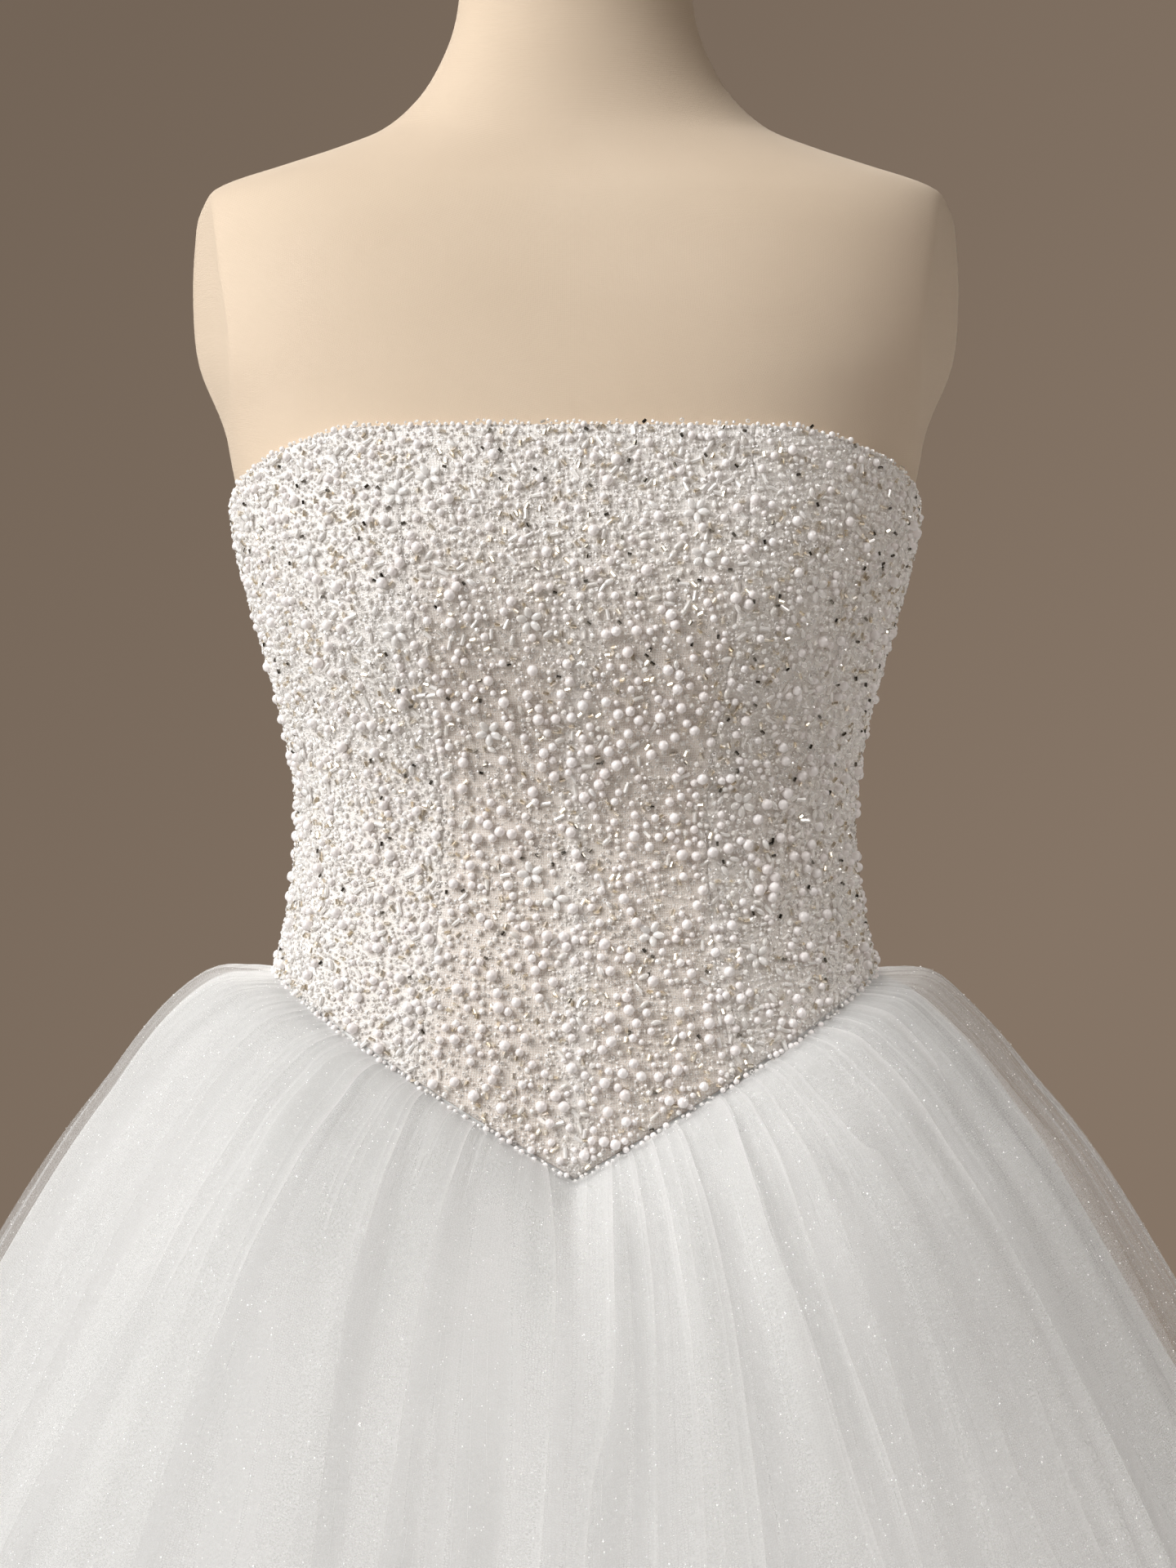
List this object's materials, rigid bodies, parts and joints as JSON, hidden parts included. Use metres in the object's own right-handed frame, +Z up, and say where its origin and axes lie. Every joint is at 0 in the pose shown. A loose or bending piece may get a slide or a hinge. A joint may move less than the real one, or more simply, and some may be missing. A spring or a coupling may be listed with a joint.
{
  "type": "ball gown on dress form",
  "caption": "Strapless ball gown with a beaded bodice, pointed basque waist and full gathered tulle skirt, standing on a limbless dress form.",
  "frame": {"origin": "centre of the round base's flat underside, on the floor under the dress form's pole", "axes": "+Z up along the pole to the neck; the gown's front faces -Y; +X towards the viewer's right"},
  "size_m": [1.3344, 1.3299, 1.504],
  "materials": {
    "beaded_net": "ivory net over a nude lining, sewn all over with pearls, crystals and seed beads",
    "ivory_layers": "dense ivory gathered layers, matt",
    "glitter_tulle": "sheer white net with fine glitter",
    "zip_tape": "woven tape and nylon coil",
    "nickel": "nickel plate",
    "nude_knit": "fine nude jersey stretched over a firm form",
    "painted_iron": "satin off-white paint"
  },
  "bodies": {
    "gown_on_form": {"bodice_front": "beaded_net", "bodice_side_front_right": "beaded_net", "bodice_side_front_left": "beaded_net", "bodice_side_back_right": "beaded_net", "bodice_side_back_left": "beaded_net", "bodice_back_right": "beaded_net", "bodice_back_left": "beaded_net", "underskirt_front": "ivory_layers", "underskirt_back_right": "ivory_layers", "underskirt_back_left": "ivory_layers", "tulle_front": "glitter_tulle", "tulle_back_right": "glitter_tulle", "tulle_back_left": "glitter_tulle", "back_zip": "zip_tape", "zip_slider": "nickel", "form_torso": "nude_knit", "form_pole": "painted_iron", "form_base": "painted_iron"},
    "pull_tab": {"zip_pull": "nickel"}
  },
  "joints": [
    {"name": "pull_tab_swing", "type": "hinge", "parent": "gown_on_form", "child": "pull_tab", "pos_m": [0, 0.11067, 1.187], "axis": [1, 0, 0], "range_deg": [0, 150]}
  ]
}
